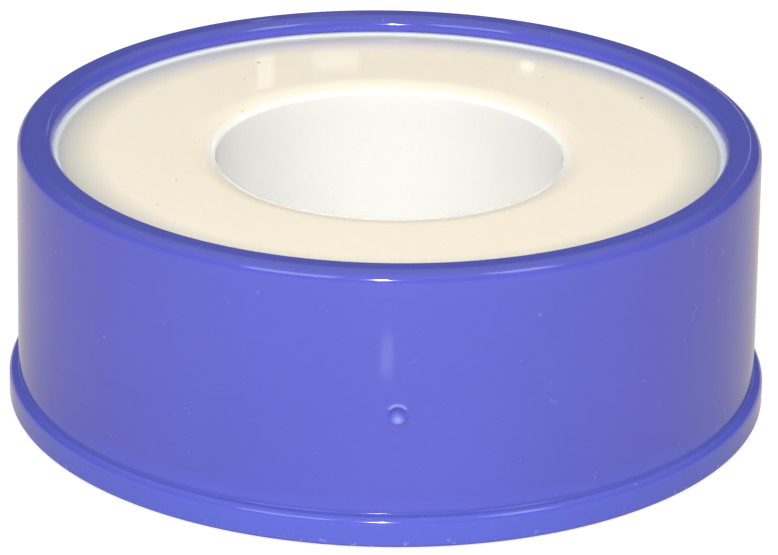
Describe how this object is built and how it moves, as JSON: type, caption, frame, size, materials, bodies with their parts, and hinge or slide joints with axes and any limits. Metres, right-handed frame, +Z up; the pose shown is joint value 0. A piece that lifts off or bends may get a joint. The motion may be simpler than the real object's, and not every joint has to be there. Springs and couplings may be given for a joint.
{
  "type": "thread seal tape roll",
  "caption": "Low round roll of thread seal tape: film wound on a white flanged spool with a wide through hole, inside a glossy blue snap-over shell with a turned-in rim and a foot lip.",
  "frame": {"origin": "on the roll's axis, in the plane that the roll stands on", "axes": "+Z up along the roll's axis, towards the turned-in rim; -Y towards the moulding gate's mark on the wall"},
  "size_m": [0.0516, 0.0516, 0.0187],
  "materials": {
    "spool_plastic": "milky white, slightly translucent, glossy",
    "tape_film": "white film with a waxy sheen",
    "shell_plastic": "glossy blue-violet"
  },
  "bodies": {
    "spool": {"upper_spool_half": "spool_plastic", "lower_spool_half": "spool_plastic", "tape_winding": "tape_film"},
    "loose_end": {"tape_tail": "tape_film"},
    "shell": {"outer_shell": "shell_plastic"}
  },
  "joints": [
    {"name": "tape_unwind", "type": "hinge", "parent": "spool", "child": "loose_end", "pos_m": [0, 0, 0.0086], "axis": [0, 0, 1], "continuous": true},
    {"name": "shell_pull_off", "type": "slide", "parent": "loose_end", "child": "shell", "axis": [0, 0, 1], "range_m": [0, 0.025]}
  ]
}
